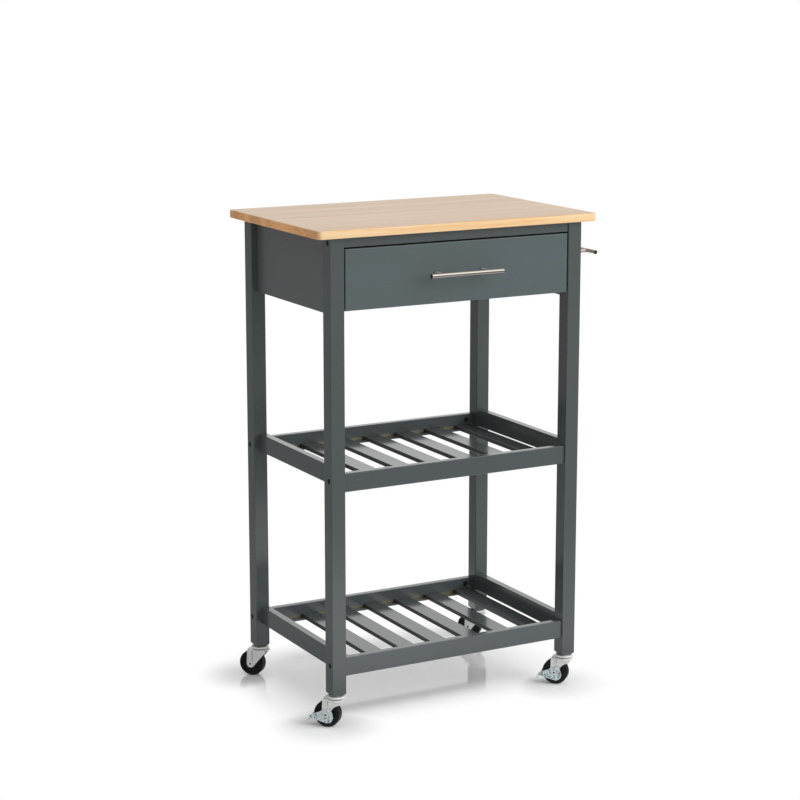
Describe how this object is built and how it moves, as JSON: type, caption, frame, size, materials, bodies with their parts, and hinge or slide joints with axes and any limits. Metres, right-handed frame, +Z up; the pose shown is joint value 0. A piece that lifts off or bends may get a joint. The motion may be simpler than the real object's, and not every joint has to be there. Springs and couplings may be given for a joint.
{
  "type": "kitchen island cart",
  "caption": "Rolling kitchen island cart with a wooden worktop, one drawer, two slatted shelves, a side towel rail and swivel casters with brakes at the front.",
  "frame": {"origin": "middle of the bounding box at the floor, under the worktop's middle but for the towel rail's and handle's reach", "axes": "+Z up, -Y the way the drawer opens, +X towards the towel rail"},
  "size_m": [0.6115, 0.4148, 0.92],
  "materials": {
    "worktop_wood": "satin lacquer",
    "grey_paint": "satin slate grey paint",
    "plain_wood": "sanded",
    "drawer_bottom_board": "smooth board",
    "brushed_steel": "brushed",
    "zinc_steel": "bright zinc plating",
    "black_steel": "black plating",
    "black_wheel": "matte"
  },
  "bodies": {
    "cart_frame": {"worktop": "worktop_wood", "leg_front_left": "grey_paint", "leg_front_right": "grey_paint", "leg_back_left": "grey_paint", "leg_back_right": "grey_paint", "side_panel_left": "grey_paint", "side_panel_right": "grey_paint", "back_panel": "grey_paint", "drawer_top_rail": "grey_paint", "mid_shelf_front_rail": "grey_paint", "mid_shelf_back_rail": "grey_paint", "mid_shelf_left_rail": "grey_paint", "mid_shelf_right_rail": "grey_paint", "mid_shelf_slats": "grey_paint", "low_shelf_front_rail": "grey_paint", "low_shelf_back_rail": "grey_paint", "low_shelf_left_rail": "grey_paint", "low_shelf_right_rail": "grey_paint", "low_shelf_slats": "grey_paint", "frame_bolts": "black_steel", "barrel_nuts": "black_steel", "frame_dowels": "plain_wood", "worktop_brackets": "zinc_steel", "panel_screws": "zinc_steel", "towel_bar": "brushed_steel", "towel_posts": "brushed_steel", "towel_screws": "zinc_steel", "drawer_runner_left": "plain_wood", "drawer_runner_right": "plain_wood", "caster_inserts": "zinc_steel", "caster_stems": "zinc_steel"},
    "drawer": {"drawer_front": "grey_paint", "drawer_side_left": "plain_wood", "drawer_side_right": "plain_wood", "drawer_back": "plain_wood", "drawer_bottom": "drawer_bottom_board", "drawer_dowels": "plain_wood", "drawer_stops": "plain_wood", "drawer_screws": "zinc_steel", "handle_bar": "brushed_steel", "handle_posts": "brushed_steel"},
    "caster_front_left": {"caster_fork_front_left": "zinc_steel", "caster_axle_front_left": "zinc_steel", "brake_rivets_front_left": "zinc_steel"},
    "wheel_front_left": {"caster_wheel_front_left": "black_wheel"},
    "brake_front_left": {"brake_lever_front_left": "zinc_steel"},
    "caster_front_right": {"caster_fork_front_right": "zinc_steel", "caster_axle_front_right": "zinc_steel", "brake_rivets_front_right": "zinc_steel"},
    "wheel_front_right": {"caster_wheel_front_right": "black_wheel"},
    "brake_front_right": {"brake_lever_front_right": "zinc_steel"},
    "caster_back_left": {"caster_fork_back_left": "zinc_steel", "caster_axle_back_left": "zinc_steel"},
    "wheel_back_left": {"caster_wheel_back_left": "black_wheel"},
    "caster_back_right": {"caster_fork_back_right": "zinc_steel", "caster_axle_back_right": "zinc_steel"},
    "wheel_back_right": {"caster_wheel_back_right": "black_wheel"}
  },
  "joints": [
    {"name": "drawer_slide", "type": "slide", "parent": "cart_frame", "child": "drawer", "axis": [0, -1, 0], "range_m": [0, 0.24]},
    {"name": "swivel_front_left", "type": "hinge", "parent": "cart_frame", "child": "caster_front_left", "pos_m": [-0.26074, -0.15788, 0.055], "axis": [0, 0, 1], "continuous": true},
    {"name": "wheel_spin_front_left", "type": "hinge", "parent": "caster_front_left", "child": "wheel_front_left", "pos_m": [-0.27145, -0.14599, 0.025], "axis": [-0.7431, -0.6691, 0], "continuous": true},
    {"name": "brake_front_left", "type": "hinge", "parent": "caster_front_left", "child": "brake_front_left", "pos_m": [-0.26677, -0.15119, 0.035], "axis": [-0.7431, -0.6691, 0], "range_deg": [0, 10]},
    {"name": "swivel_front_right", "type": "hinge", "parent": "cart_frame", "child": "caster_front_right", "pos_m": [0.23526, -0.15788, 0.055], "axis": [0, 0, 1], "continuous": true},
    {"name": "wheel_spin_front_right", "type": "hinge", "parent": "caster_front_right", "child": "wheel_front_right", "pos_m": [0.22455, -0.14599, 0.025], "axis": [-0.7431, -0.6691, 0], "continuous": true},
    {"name": "brake_front_right", "type": "hinge", "parent": "caster_front_right", "child": "brake_front_right", "pos_m": [0.22923, -0.15119, 0.035], "axis": [-0.7431, -0.6691, 0], "range_deg": [0, 10]},
    {"name": "swivel_back_left", "type": "hinge", "parent": "cart_frame", "child": "caster_back_left", "pos_m": [-0.26074, 0.17212, 0.055], "axis": [0, 0, 1], "continuous": true},
    {"name": "wheel_spin_back_left", "type": "hinge", "parent": "caster_back_left", "child": "wheel_back_left", "pos_m": [-0.27145, 0.18401, 0.025], "axis": [-0.7431, -0.6691, 0], "continuous": true},
    {"name": "swivel_back_right", "type": "hinge", "parent": "cart_frame", "child": "caster_back_right", "pos_m": [0.23526, 0.17212, 0.055], "axis": [0, 0, 1], "continuous": true},
    {"name": "wheel_spin_back_right", "type": "hinge", "parent": "caster_back_right", "child": "wheel_back_right", "pos_m": [0.22455, 0.18401, 0.025], "axis": [-0.7431, -0.6691, 0], "continuous": true}
  ]
}
